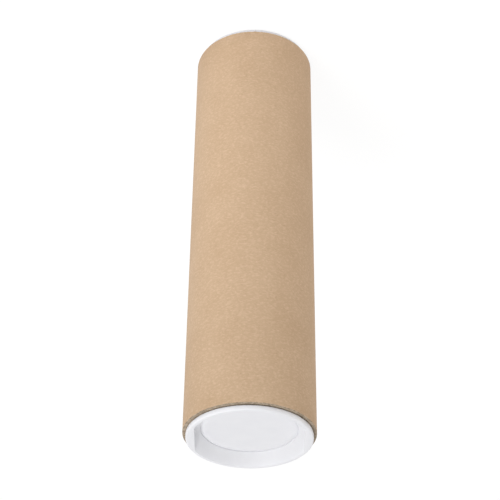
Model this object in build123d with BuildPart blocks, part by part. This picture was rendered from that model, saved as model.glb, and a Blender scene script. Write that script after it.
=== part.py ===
import os
from math import hypot

from build123d import *

# A wound paper mailing tube, stood on end, with a moulded push-in plug in each end.
# Millimetres, +Z up along the tube, origin at the centre of the lower plug's outer face.

# Paper tube
tube_length = 300.0
tube_bore = 76.0
tube_wall = 3.5
tube_edge_bevel = 0.5

# How a plug sits in the tube
plug_clearance = 0.25
seat_gap = 0.3

# Moulded plug
flange_overlap = 1.5
flange_thickness = 3.5
flange_face_bevel = 1.0
flange_seat_bevel = 0.4
plug_wall = 1.4
skirt_length = 16.0
skirt_lead_in = 0.7
skirt_lead_length = 3.0
lip_width = 2.4
recess_depth = 8.2
recess_slope_run = 6.6
foot_height = 1.3
panel_margin = 0.3
panel_height = 1.1
panel_slope_run = 1.2
ledge_reach = 3.3
ledge_root = 0.7

# Radii that follow from the sizes above
bore_radius = tube_bore / 2
tube_radius = bore_radius + tube_wall
flange_radius = bore_radius + flange_overlap
skirt_radius = bore_radius - plug_clearance
mouth_radius = flange_radius - lip_width
floor_radius = mouth_radius - recess_slope_run
panel_radius = floor_radius - panel_margin
ledge_offset = mouth_radius - ledge_reach

# Heights of the tube's ends and of the planes that the flanges seat on
lower_seat_height = flange_thickness
tube_bottom = lower_seat_height + seat_gap
tube_top = tube_bottom + tube_length
upper_seat_height = tube_top + seat_gap


def dish_outline(floor_height, foot_top, widening):
    # Half section of the dish: flat floor, upright foot, then a wall that opens out to the mouth
    return [
        (0, floor_height),
        (floor_radius + widening, floor_height),
        (floor_radius + widening, foot_top),
        (mouth_radius + widening, flange_thickness),
        (0, flange_thickness),
    ]


def moulded_plug(label, section_plane):
    # In the section plane x is the radius and y runs outwards from the seat on the tube's end
    outward = Axis(section_plane.origin, section_plane.y_dir)
    face_plane = Plane(
        section_plane.origin + section_plane.y_dir * flange_thickness,
        x_dir=section_plane.x_dir,
        z_dir=section_plane.y_dir,
    )
    floor_height = flange_thickness - recess_depth
    panel_top = floor_height + panel_height
    foot_top = floor_height + foot_height
    slope_rise = recess_depth - foot_height
    slanted_wall = plug_wall * hypot(slope_rise, recess_slope_run) / slope_rise

    with BuildPart() as plug:
        # Grip ledges: two segments left where a slot is cut across the filled recess
        with BuildSketch(section_plane):
            Polygon(*dish_outline(floor_height, foot_top, ledge_root), align=None)
        revolve(axis=outward)
        with BuildSketch(face_plane):
            Rectangle(2 * ledge_offset, 2 * flange_radius)
        extrude(amount=-recess_depth, mode=Mode.SUBTRACT)

        # Flange, skirt and dish, with the recess cut into the dish and a raised panel on its floor,
        # whose sloping side leaves a narrow groove at the foot of the recess wall
        with BuildSketch(section_plane):
            Rectangle(flange_radius, flange_thickness, align=(Align.MIN, Align.MIN))
            with Locations((skirt_radius, 0)):
                Rectangle(plug_wall, skirt_length, align=(Align.MAX, Align.MAX))
            Polygon(*dish_outline(floor_height - plug_wall, foot_top, slanted_wall), align=None)
            Polygon(*dish_outline(floor_height, foot_top, 0), align=None, mode=Mode.SUBTRACT)
            Polygon(
                (0, floor_height),
                (panel_radius, floor_height),
                (panel_radius - panel_slope_run, panel_top),
                (0, panel_top),
                align=None,
            )
        revolve(axis=outward)

        # Flange rim with its edges broken, and a tapered lead-in on the skirt's end
        rim_edges = plug.edges().filter_by(GeomType.CIRCLE).sort_by(SortBy.RADIUS)[-2:]
        seat_edge, face_edge = rim_edges.sort_by(outward)
        chamfer(face_edge, length=flange_face_bevel)
        chamfer(seat_edge, length=flange_seat_bevel)
        skirt_end = plug.faces().filter_by(GeomType.PLANE).sort_by(outward)[0]
        skirt_edge = skirt_end.edges().sort_by(SortBy.RADIUS)[-1]
        chamfer(skirt_edge, length=skirt_lead_length, length2=skirt_lead_in)
    plug.part.label = label
    return plug


# Paper tube: one straight wall, sawn square, with the outer edges of both ends broken
with BuildPart() as tube:
    with BuildSketch(Plane.XY.offset(tube_bottom)):
        Circle(tube_radius)
        Circle(bore_radius, mode=Mode.SUBTRACT)
    extrude(amount=tube_length)
    end_edges = tube.edges().filter_by(GeomType.CIRCLE).sort_by(SortBy.RADIUS)[-2:]
    chamfer(end_edges, length=tube_edge_bevel)
tube.part.label = "tube"

# The two plugs are the same moulding, turned to face out of each end
upper_section = Plane((0, 0, upper_seat_height), x_dir=(1, 0, 0), z_dir=(0, -1, 0))
lower_section = Plane((0, 0, lower_seat_height), x_dir=(1, 0, 0), z_dir=(0, 1, 0))
top_plug = moulded_plug("top_plug", upper_section)
bottom_plug = moulded_plug("bottom_plug", lower_section)

os.makedirs("parts", exist_ok=True)
export_step(tube.part, "parts/tube.step")
export_step(top_plug.part, "parts/top_plug.step")
export_step(bottom_plug.part, "parts/bottom_plug.step")
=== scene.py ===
import math

import bpy
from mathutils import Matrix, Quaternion, Vector, noise


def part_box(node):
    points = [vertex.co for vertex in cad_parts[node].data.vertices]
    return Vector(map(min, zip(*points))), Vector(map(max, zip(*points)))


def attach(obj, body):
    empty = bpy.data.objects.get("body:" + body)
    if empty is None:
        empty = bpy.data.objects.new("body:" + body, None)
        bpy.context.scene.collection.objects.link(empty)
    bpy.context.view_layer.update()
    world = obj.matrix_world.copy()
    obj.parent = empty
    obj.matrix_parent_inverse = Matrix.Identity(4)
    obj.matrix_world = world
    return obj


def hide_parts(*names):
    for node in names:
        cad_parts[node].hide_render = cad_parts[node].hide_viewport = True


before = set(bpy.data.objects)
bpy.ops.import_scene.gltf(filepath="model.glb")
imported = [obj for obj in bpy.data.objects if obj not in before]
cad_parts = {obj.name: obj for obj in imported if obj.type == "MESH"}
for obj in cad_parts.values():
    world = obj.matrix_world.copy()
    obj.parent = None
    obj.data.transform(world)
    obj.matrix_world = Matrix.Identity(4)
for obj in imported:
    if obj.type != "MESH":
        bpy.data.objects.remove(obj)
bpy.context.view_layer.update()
print("frame loaded:", ", ".join(sorted(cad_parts)))

mm = 0.001  # sizes without Mm in their names are in metres

# A Mix node's sockets share their names, so they go by number
mixShare = 0
firstNumber, secondNumber, mixedNumber = 2, 3, 0
firstColour, secondColour, mixedColour = 6, 7, 2


def hexColour(code):
    # sRGB hex to the linear values that the shaders take
    parts = [int(code[i:i + 2], 16) / 255 for i in (1, 3, 5)]
    return [c / 12.92 if c <= 0.04045 else ((c + 0.055) / 1.055) ** 2.4 for c in parts] + [1.0]


def addObject(name, data):
    item = bpy.data.objects.new(name, data)
    bpy.context.collection.objects.link(item)
    return item


def addNode(tree, kind, settings, links=None):
    # settings are socket values, by name or number, or else the node's own properties
    node = tree.nodes.new(kind)
    for key, value in settings.items():
        if isinstance(key, int) or key in node.inputs:
            node.inputs[key].default_value = value
        else:
            setattr(node, key, value)
    for key, socket in (links or {}).items():
        tree.links.new(socket, node.inputs[key])
    return node


def emptyTree(holder):
    holder.use_nodes = True
    holder.node_tree.nodes.clear()
    return holder.node_tree


def newMaterial(name):
    material = bpy.data.materials.new(name)
    return material, emptyTree(material)


def gridPiece(name, rows, segments, wrap, materials, slotOfRow):
    # rows: functions of the turn angle that give (radius, height); a row with radius 0 becomes one point
    verts, rings = [], []
    for row in rows:
        ring = []
        for k in range(segments):
            angle = 2 * math.pi * k / segments
            radius, height = row(angle)
            if radius == 0 and ring:
                ring.append(ring[0])
                continue
            ring.append(len(verts))
            verts.append((radius * math.cos(angle), radius * math.sin(angle), height))
        rings.append(ring)
    faces, slots = [], []
    count = len(rings) if wrap else len(rings) - 1
    for i in range(count):
        low, high = rings[i], rings[(i + 1) % len(rings)]
        for k in range(segments):
            n = (k + 1) % segments
            corners = [low[k], low[n], high[n], high[k]]
            faces.append(list(dict.fromkeys(corners)))  # a repeated point goes, which leaves a triangle
            slots.append(slotOfRow(i))
    mesh = bpy.data.meshes.new(name)
    mesh.from_pydata(verts, [], faces)
    for material in materials:
        mesh.materials.append(material)
    mesh.polygons.foreach_set("material_index", slots)
    mesh.update()
    return addObject(name, mesh)


def smoothFaces(piece, sharpAngle):
    piece.data.shade_smooth()
    piece.data.set_sharp_from_angle(angle=math.radians(sharpAngle))


# Kraft paper, wound and glued: matt and warm, with short fibres that lie round the tube.
# Single fibres are too fine to show, so fibres and specks are drawn as clumps of about 2 mm.
kraftLook = {
    "pale": "#d4b798", "deep": "#bc9d7c", "toneFrom": 0.34, "toneTo": 0.66,
    "blotchMm": 26, "blotchDetail": 2.0, "blotchShare": 0.2,
    "fibreMm": 2.0, "fibreStretch": 1.8, "fibreDetail": 4.0, "fibreGrit": 0.65,
    "specks": {
        "fleck": {"colour": "#a38462", "sizeMm": 2.2, "stretch": 2.2, "detail": 1.0,
                  "from": 0.60, "to": 0.80, "most": 0.28},
        "straw": {"colour": "#dbc1a0", "sizeMm": 2.0, "stretch": 1.8, "detail": 1.0,
                  "from": 0.58, "to": 0.76, "most": 0.35},
    },
    "bumpMm": 0.05, "bumpStrength": 0.5,
    "roughness": 0.82, "specular": 0.3, "sheen": 0.04, "sheenRoughness": 0.6,
}


def kraftPaper():
    look = kraftLook
    material, tree = newMaterial("kraftPaperWound")
    place = addNode(tree, "ShaderNodeTexCoord", {}).outputs["Object"]
    blotch = addNode(tree, "ShaderNodeTexNoise",
                     {"Scale": 1 / (look["blotchMm"] * mm), "Detail": look["blotchDetail"]},
                     {"Vector": place}).outputs["Fac"]
    fibrePlace = addNode(tree, "ShaderNodeMapping", {"Scale": (1, 1, look["fibreStretch"])},
                         {"Vector": place}).outputs["Vector"]
    fibre = addNode(tree, "ShaderNodeTexNoise",
                    {"Scale": 1 / (look["fibreMm"] * mm), "Detail": look["fibreDetail"],
                     "Roughness": look["fibreGrit"]},
                    {"Vector": fibrePlace}).outputs["Fac"]
    tone = addNode(tree, "ShaderNodeMix", {"data_type": "FLOAT", mixShare: look["blotchShare"]},
                   {firstNumber: fibre, secondNumber: blotch}).outputs[mixedNumber]
    spread = addNode(tree, "ShaderNodeMapRange", {"From Min": look["toneFrom"], "From Max": look["toneTo"]},
                     {"Value": tone}).outputs["Result"]
    colour = addNode(tree, "ShaderNodeMix",
                     {"data_type": "RGBA", firstColour: hexColour(look["pale"]),
                      secondColour: hexColour(look["deep"])},
                     {mixShare: spread}).outputs[mixedColour]
    # dark flecks, then pale straws over them
    for speck in look["specks"].values():
        speckPlace = addNode(tree, "ShaderNodeMapping", {"Scale": (1, 1, speck["stretch"])},
                             {"Vector": place}).outputs["Vector"]
        pattern = addNode(tree, "ShaderNodeTexNoise",
                          {"Scale": 1 / (speck["sizeMm"] * mm), "Detail": speck["detail"]},
                          {"Vector": speckPlace}).outputs["Fac"]
        mask = addNode(tree, "ShaderNodeMapRange",
                       {"From Min": speck["from"], "From Max": speck["to"], "To Max": speck["most"]},
                       {"Value": pattern}).outputs["Result"]
        colour = addNode(tree, "ShaderNodeMix",
                         {"data_type": "RGBA", secondColour: hexColour(speck["colour"])},
                         {mixShare: mask, firstColour: colour}).outputs[mixedColour]
    bump = addNode(tree, "ShaderNodeBump",
                   {"Strength": look["bumpStrength"], "Distance": look["bumpMm"] * mm},
                   {"Height": fibre}).outputs["Normal"]
    surface = addNode(tree, "ShaderNodeBsdfPrincipled",
                      {"Roughness": look["roughness"], "Specular IOR Level": look["specular"],
                       "Sheen Weight": look["sheen"], "Sheen Roughness": look["sheenRoughness"]},
                      {"Base Color": colour, "Normal": bump}).outputs["BSDF"]
    addNode(tree, "ShaderNodeOutputMaterial", {}, {"Surface": surface})
    return material


# Sawn end of the wound paper: thin plies edge on, torn fibres, darker than the face.
# The torn fibres are drawn as tufts, coarser than real ones, so that they show.
sawnLook = {
    "ply": "#cfbea8", "glue": "#867766", "toneFrom": 0.3, "toneTo": 0.7,
    "plyMm": 0.5, "plyWander": 3.0, "plyContrast": 0.22,
    "fuzzMm": 2.4, "fuzzDetail": 3.0, "fuzzGrit": 0.7,
    "bumpMm": 0.2, "bumpStrength": 0.8, "roughness": 0.95, "specular": 0.15,
}


def sawnPaper():
    look = sawnLook
    material, tree = newMaterial("kraftPaperSawnEdge")
    place = addNode(tree, "ShaderNodeTexCoord", {}).outputs["Object"]
    axes = addNode(tree, "ShaderNodeSeparateXYZ", {}, {"Vector": place})
    flat = addNode(tree, "ShaderNodeCombineXYZ", {}, {"X": axes.outputs["X"], "Y": axes.outputs["Y"]})
    radius = addNode(tree, "ShaderNodeVectorMath", {"operation": "LENGTH"},
                     {0: flat.outputs["Vector"]}).outputs["Value"]
    fuzz = addNode(tree, "ShaderNodeTexNoise",
                   {"Scale": 1 / (look["fuzzMm"] * mm), "Detail": look["fuzzDetail"],
                    "Roughness": look["fuzzGrit"]},
                   {"Vector": place}).outputs["Fac"]
    # one wave per ply along the radius, pushed about by the fuzz
    turns = addNode(tree, "ShaderNodeMath",
                    {"operation": "MULTIPLY", 1: 2 * math.pi / (look["plyMm"] * mm)},
                    {0: radius}).outputs[0]
    wander = addNode(tree, "ShaderNodeMath", {"operation": "MULTIPLY_ADD", 1: look["plyWander"]},
                     {0: fuzz, 2: turns}).outputs[0]
    plies = addNode(tree, "ShaderNodeMath", {"operation": "SINE"}, {0: wander}).outputs[0]
    blend = addNode(tree, "ShaderNodeMath", {"operation": "MULTIPLY_ADD", 1: look["plyContrast"]},
                    {0: plies, 2: fuzz}).outputs[0]
    spread = addNode(tree, "ShaderNodeMapRange", {"From Min": look["toneFrom"], "From Max": look["toneTo"]},
                     {"Value": blend}).outputs["Result"]
    colour = addNode(tree, "ShaderNodeMix",
                     {"data_type": "RGBA", firstColour: hexColour(look["glue"]),
                      secondColour: hexColour(look["ply"])},
                     {mixShare: spread}).outputs[mixedColour]
    bump = addNode(tree, "ShaderNodeBump",
                   {"Strength": look["bumpStrength"], "Distance": look["bumpMm"] * mm},
                   {"Height": blend}).outputs["Normal"]
    surface = addNode(tree, "ShaderNodeBsdfPrincipled",
                      {"Roughness": look["roughness"], "Specular IOR Level": look["specular"]},
                      {"Base Color": colour, "Normal": bump}).outputs["BSDF"]
    addNode(tree, "ShaderNodeOutputMaterial", {}, {"Surface": surface})
    return material


# Low density polyethylene, injection moulded: milky white, waxy satin, light bleeds a little way in.
# The mould's grain is drawn coarser than the real one, so that it still breaks up the gloss.
plugLook = {
    "milk": "#f0f0f3", "cloud": "#eaeaee", "flowMm": 9, "grainMm": 0.5, "noiseDetail": 2.0,
    "bumpMm": 0.012, "bumpStrength": 0.4, "roughnessFrom": 0.38, "roughnessTo": 0.52,
    "ior": 1.51, "specular": 0.35, "bleedShare": 0.5, "bleedMm": 2.5, "bleedByColour": (1.0, 1.0, 1.0),
}


def whitePolyethylene():
    look = plugLook
    material, tree = newMaterial("whitePolyethyleneMoulded")
    place = addNode(tree, "ShaderNodeTexCoord", {}).outputs["Object"]
    flow = addNode(tree, "ShaderNodeTexNoise",
                   {"Scale": 1 / (look["flowMm"] * mm), "Detail": look["noiseDetail"]},
                   {"Vector": place}).outputs["Fac"]
    grain = addNode(tree, "ShaderNodeTexNoise",
                    {"Scale": 1 / (look["grainMm"] * mm), "Detail": look["noiseDetail"]},
                    {"Vector": place}).outputs["Fac"]
    colour = addNode(tree, "ShaderNodeMix",
                     {"data_type": "RGBA", firstColour: hexColour(look["milk"]),
                      secondColour: hexColour(look["cloud"])},
                     {mixShare: flow}).outputs[mixedColour]
    satin = addNode(tree, "ShaderNodeMapRange",
                    {"To Min": look["roughnessFrom"], "To Max": look["roughnessTo"]},
                    {"Value": flow}).outputs["Result"]
    bump = addNode(tree, "ShaderNodeBump",
                   {"Strength": look["bumpStrength"], "Distance": look["bumpMm"] * mm},
                   {"Height": grain}).outputs["Normal"]
    surface = addNode(tree, "ShaderNodeBsdfPrincipled",
                      {"IOR": look["ior"], "Specular IOR Level": look["specular"],
                       "Subsurface Weight": look["bleedShare"], "Subsurface Radius": look["bleedByColour"],
                       "Subsurface Scale": look["bleedMm"] * mm},
                      {"Base Color": colour, "Roughness": satin, "Normal": bump}).outputs["BSDF"]
    addNode(tree, "ShaderNodeOutputMaterial", {}, {"Surface": surface})
    return material


kraft = kraftPaper()
sawn = sawnPaper()
polyethylene = whitePolyethylene()
print("materials made")

# Wound paper tube: smooth wall, sawn ends with torn, slightly uneven edges
tubeShape = {
    "segments": 384, "wallRows": 40, "sharpAngle": 60,
    "edgeRoundMm": 0.5, "edgeTurns": (22, 45, 67, 90), "boreEdgeMm": 0.2,
    "plies": 8, "plyStepMm": 0.05, "frayMm": 0.6, "frayPitchMm": 2.0, "frayGain": 1.6,
}


def woundTube():
    shape = tubeShape
    low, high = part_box("tube")
    outer = high[0]
    bore = min(math.hypot(v.co.x, v.co.y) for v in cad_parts["tube"].data.vertices)
    edge = shape["edgeRoundMm"] * mm
    boreEdge = shape["boreEdgeMm"] * mm
    fray = shape["frayMm"] * mm
    pitch = shape["frayPitchMm"] * mm
    plyRows = 2 * shape["plies"]

    def torn(radius, end, inward, depth):
        # an end row that dips below the sawn plane by an uneven amount, seldom more than the fray
        def row(angle):
            spot = Vector((radius * math.cos(angle), radius * math.sin(angle), end)) / pitch
            return radius, end + inward * (depth + fray * abs(noise.noise(spot)) * shape["frayGain"])
        return row

    def plain(radius, height):
        return lambda angle: (radius, height)

    def endRows(end, inward):
        # from the outer wall, over the worn edge and the plies, to the bore
        rows = [torn(outer - edge * (1 - math.cos(t)), end, inward, edge * (1 - math.sin(t)))
                for t in map(math.radians, shape["edgeTurns"])]
        first, last = outer - edge, bore + boreEdge
        for i in range(1, plyRows):
            step = shape["plyStepMm"] * mm * (i % 2)  # every other row lies a little lower
            rows.append(torn(first + (last - first) * i / plyRows, end, inward, step))
        return rows + [torn(bore + boreEdge / 2, end, inward, boreEdge / 4)]

    wall = [low[2] + edge + (high[2] - low[2] - 2 * edge) * i / shape["wallRows"]
            for i in range(shape["wallRows"] + 1)]
    upper, lower = endRows(high[2], -1), endRows(low[2], 1)
    rows = [plain(outer, z) for z in wall] + upper + [plain(bore, z) for z in reversed(wall)] + lower[::-1]
    upperStart = len(wall)
    lowerStart = 2 * len(wall) + len(upper)

    def slotOfRow(i):
        # 0 is the paper's face, 1 its sawn ends
        onUpperEnd = upperStart <= i < upperStart + len(upper)
        return 1 if onUpperEnd or i >= lowerStart else 0

    piece = gridPiece("wound_tube", rows, shape["segments"], True, [kraft, sawn], slotOfRow)
    smoothFaces(piece, shape["sharpAngle"])
    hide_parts("tube")
    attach(piece, "tube")


woundTube()
print("paper tube made")

# Moulded plug: flange with a rounded rim, skirt inside the tube, dished recess with two grip ledges.
# The panel on the dish's floor falls in a soft curve to a groove, a little shallower than the solid's.
plugShape = {
    "segments": 384, "wallRows": 36, "roundRows": 6, "shoulderRows": 8, "middleShare": 0.6, "sharpAngle": 40,
    "flangeMm": 3.5, "faceRoundMm": 1.0, "seatRoundMm": 0.5, "lipMm": 2.4, "mouthRoundMm": 0.3,
    "wallMm": 1.4, "skirtRadiusMm": 37.75, "leadInMm": 0.7, "leadLengthMm": 3.0,
    "recessMm": 8.2, "slopeMm": 6.6, "footMm": 1.05, "ledgeMm": 3.3,
    "panelMarginMm": 0.4, "panelMm": 1.1, "panelRoundMm": 2.4, "grooveMm": 0.9,
}


def mouldedPlug(name, node, outward):
    shape = plugShape
    # the sizes in metres, each named without its Mm
    size = {key.removesuffix("Mm"): value * mm for key, value in shape.items() if key.endswith("Mm")}
    low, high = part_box(node)
    face = high[2] if outward > 0 else low[2]
    rim = high[0]
    seat = size["flange"]
    skirtLength = high[2] - low[2] - seat
    mouth = rim - size["lip"]
    floorRadius = mouth - size["slope"]
    panelRadius = floorRadius - size["panelMargin"]
    ledge = mouth - size["ledge"]
    depth = size["recess"]
    footTop = depth - size["foot"]
    quarter = [math.radians(90 * i / shape["roundRows"]) for i in range(1, shape["roundRows"] + 1)]

    def place(radius, deep):
        # deep is measured inwards from the flange's outer face
        return lambda angle: (radius, face - outward * deep)

    def wallRadius(angle, deep):
        # the dish's cone, cut off straight where a ledge stands in it
        cone = mouth - size["slope"] * deep / footTop
        across = abs(math.cos(angle))
        return ledge / across if cone * across > ledge else cone

    def wallRow(deep):
        return lambda angle: (wallRadius(angle, deep), face - outward * deep)

    def mouthRow(turn):
        soft = size["mouthRound"]
        return lambda angle: (wallRadius(angle, soft) + soft * (1 - math.cos(turn)),
                              face - outward * soft * (1 - math.sin(turn)))

    def dishRows():
        # from the panel's middle, down its shoulder to the groove, then up the wall to the mouth
        panelTop = depth - size["panel"]
        groove = size["groove"]
        shoulder = size["panelRound"]
        rows = [place(0, panelTop)]
        rows += [place(panelRadius * shape["middleShare"], panelTop)]
        rows += [place(panelRadius - shoulder, panelTop)]
        for i in range(1, shape["shoulderRows"] + 1):
            share = i / shape["shoulderRows"]
            rows += [place(panelRadius - shoulder * (1 - share), panelTop + groove * share ** 2)]
        rows += [place(floorRadius, panelTop + groove)]
        rows += [wallRow(footTop - (footTop - size["mouthRound"]) * i / shape["wallRows"])
                 for i in range(shape["wallRows"] + 1)]
        return rows + [mouthRow(t) for t in quarter]

    def flangeRows():
        # over the face, round the rim and round the edge of the seat
        soft = size["faceRound"]
        rows = [place(rim - soft, 0)]
        rows += [place(rim - soft * (1 - math.sin(t)), soft * (1 - math.cos(t))) for t in quarter]
        tight = size["seatRound"]
        rows += [place(rim, seat - tight)]
        rows += [place(rim - tight * (1 - math.cos(t)), seat - tight * (1 - math.sin(t))) for t in quarter]
        return rows

    def undersideRows():
        # along the skirt to its tapered end, back up its inside, then under the dish to the middle
        skirt = size["skirtRadius"]
        skirtEnd = seat + skirtLength
        inside = skirt - size["wall"]
        under = depth + size["wall"]
        slant = size["wall"] * math.hypot(footTop, size["slope"]) / footTop
        return [
            place(skirt, seat),
            place(skirt, skirtEnd - size["leadLength"]),
            place(skirt - size["leadIn"], skirtEnd),
            place(inside, skirtEnd),
            place(inside, seat),
            place(mouth + slant - size["slope"] * seat / footTop, seat),
            place(floorRadius + slant, footTop),
            place(floorRadius + slant, under),
            place(floorRadius * shape["middleShare"], under),
            place(0, under),
        ]

    rows = dishRows() + flangeRows() + undersideRows()
    piece = gridPiece(name, rows, shape["segments"], False, [polyethylene], lambda i: 0)
    if outward > 0:
        piece.data.flip_normals()
    smoothFaces(piece, shape["sharpAngle"])
    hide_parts(node)
    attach(piece, node)


mouldedPlug("moulded_top_plug", "top_plug", 1)
mouldedPlug("moulded_bottom_plug", "bottom_plug", -1)
print("plugs made")


def seenShare(tree):
    # 1 for the rays by which the camera sees a thing, 0 for those that only light the object
    rays = addNode(tree, "ShaderNodeLightPath", {})
    seen = addNode(tree, "ShaderNodeMath", {"operation": "MAXIMUM"},
                   {0: rays.outputs["Is Camera Ray"], 1: rays.outputs["Is Glossy Ray"]}).outputs[0]
    return addNode(tree, "ShaderNodeMath", {"operation": "MAXIMUM"},
                   {0: seen, 1: rays.outputs["Is Transmission Ray"]}).outputs[0]


# Pale studio floor: the camera sees it near white, and it still takes the tube's shadow
floorLook = {"size": 12.0, "paint": "#f4f4f4", "glow": 1.10, "glowShare": 0.80}


def paleFloor():
    look = floorLook
    half = look["size"] / 2
    corners = [(-half, -half, 0), (half, -half, 0), (half, half, 0), (-half, half, 0)]
    mesh = bpy.data.meshes.new("studio_floor")
    mesh.from_pydata(corners, [], [(0, 1, 2, 3)])
    floor = addObject("studio_floor", mesh)
    material, tree = newMaterial("mattPaintedFloor")
    share = addNode(tree, "ShaderNodeMath", {"operation": "MULTIPLY", 1: look["glowShare"]},
                    {0: seenShare(tree)}).outputs[0]
    paint = addNode(tree, "ShaderNodeBsdfDiffuse", {"Color": hexColour(look["paint"])}).outputs["BSDF"]
    glow = addNode(tree, "ShaderNodeEmission", {"Strength": look["glow"]}).outputs["Emission"]
    mixed = addNode(tree, "ShaderNodeMixShader", {}, {0: share, 1: paint, 2: glow}).outputs["Shader"]
    addNode(tree, "ShaderNodeOutputMaterial", {}, {"Surface": mixed})
    mesh.materials.append(material)


paleFloor()

# Soft studio light: a low key from the picture's left, a large softbox overhead, a low fill from
# the right and an even surround
lamps = {
    "key_softbox": {"place": (0.26, -0.41, 0.05), "aim": (0, 0, 0.07), "size": 0.28, "spread": 110,
                    "watts": 0.345, "tint": "#f8faff"},
    "overhead_softbox": {"place": (1.0, -0.95, 2.6), "aim": (0, 0, 0.30), "size": 1.2, "spread": 180,
                         "watts": 33.2, "tint": "#ffffff"},
    "side_fill": {"place": (-0.52, -0.06, 0.05), "aim": (0, 0, 0.06), "size": 0.35, "spread": 180,
                  "watts": 0.58, "tint": "#fff0de"},
}
surround = {"strength": 0.546, "tint": "#ffffff", "seenStrength": 1.0, "seenTint": "#ffffff"}


def studioLight():
    for name, lamp in lamps.items():
        data = bpy.data.lights.new(name, "AREA")
        data.shape = "SQUARE"
        data.size = lamp["size"]
        data.spread = math.radians(lamp["spread"])
        data.energy = lamp["watts"]
        data.color = hexColour(lamp["tint"])[:3]
        holder = addObject(name, data)
        holder.location = lamp["place"]
        holder.rotation_euler = (holder.location - Vector(lamp["aim"])).to_track_quat("Z", "Y").to_euler()
        holder.visible_camera = False

    world = bpy.data.worlds.new("studio_surround")
    bpy.context.scene.world = world
    tree = emptyTree(world)
    fill = addNode(tree, "ShaderNodeBackground",
                   {"Color": hexColour(surround["tint"]), "Strength": surround["strength"]}).outputs[0]
    white = addNode(tree, "ShaderNodeBackground",
                    {"Color": hexColour(surround["seenTint"]),
                     "Strength": surround["seenStrength"]}).outputs[0]
    mixed = addNode(tree, "ShaderNodeMixShader", {}, {0: seenShare(tree), 1: fill, 2: white}).outputs[0]
    addNode(tree, "ShaderNodeOutputWorld", {}, {"Surface": mixed})


studioLight()
print("floor and light made")

# The picture's view: from above the tube's top end, with the camera upside down
cameraView = {
    "place": (-0.00386, -0.77646, 0.70414), "aim": (0.00129, 0.0, 0.16506), "roll": -179.235,
    "lens": 101.24, "sensor": 36, "nearClip": 0.01,
}


def photoCamera():
    view = cameraView
    data = bpy.data.cameras.new("photo_camera")
    data.sensor_width = view["sensor"]
    data.lens = view["lens"]
    data.clip_start = view["nearClip"]
    camera = addObject("photo_camera", data)
    place, aim = Vector(view["place"]), Vector(view["aim"])
    turn = (aim - place).to_track_quat("-Z", "Y") @ Quaternion((0, 0, 1), math.radians(view["roll"]))
    camera.location = place
    camera.rotation_euler = turn.to_euler()
    bpy.context.scene.camera = camera


photoCamera()
bpy.context.scene.view_settings.view_transform = "Standard"
print("camera set")
